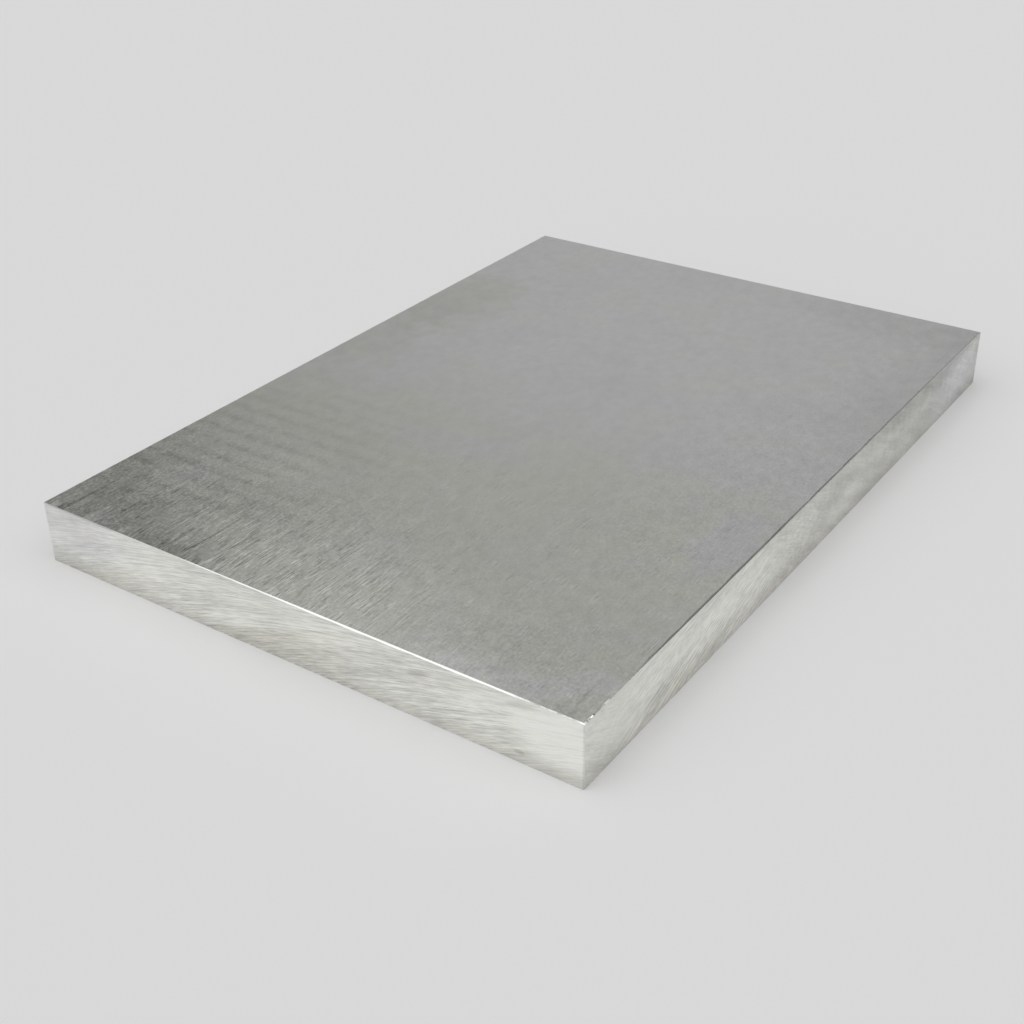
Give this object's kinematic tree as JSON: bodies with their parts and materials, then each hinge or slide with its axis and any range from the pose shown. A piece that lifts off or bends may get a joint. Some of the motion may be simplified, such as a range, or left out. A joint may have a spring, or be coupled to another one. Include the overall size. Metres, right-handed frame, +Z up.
{
  "type": "aluminium plate",
  "caption": "Thick rectangular plate of rolled aluminium with mill-finish faces, saw-cut sides and filed edges, raw stock for machining or welding.",
  "frame": {"origin": "centre of the underside, on the surface that the plate lies on", "axes": "+X across the rolling grain, to the right seen from the front; +Y along the length and the rolling grain, towards the back; +Z up, out of the top face"},
  "size_m": [0.1778, 0.254, 0.0191],
  "materials": {
    "mill_aluminium": "bare mill finish with a fine rolled grain along the length on the two large faces, bright circular-saw arcs on the four sides, filed edges"
  },
  "bodies": {
    "root": {"plate": "mill_aluminium"}
  },
  "joints": []
}
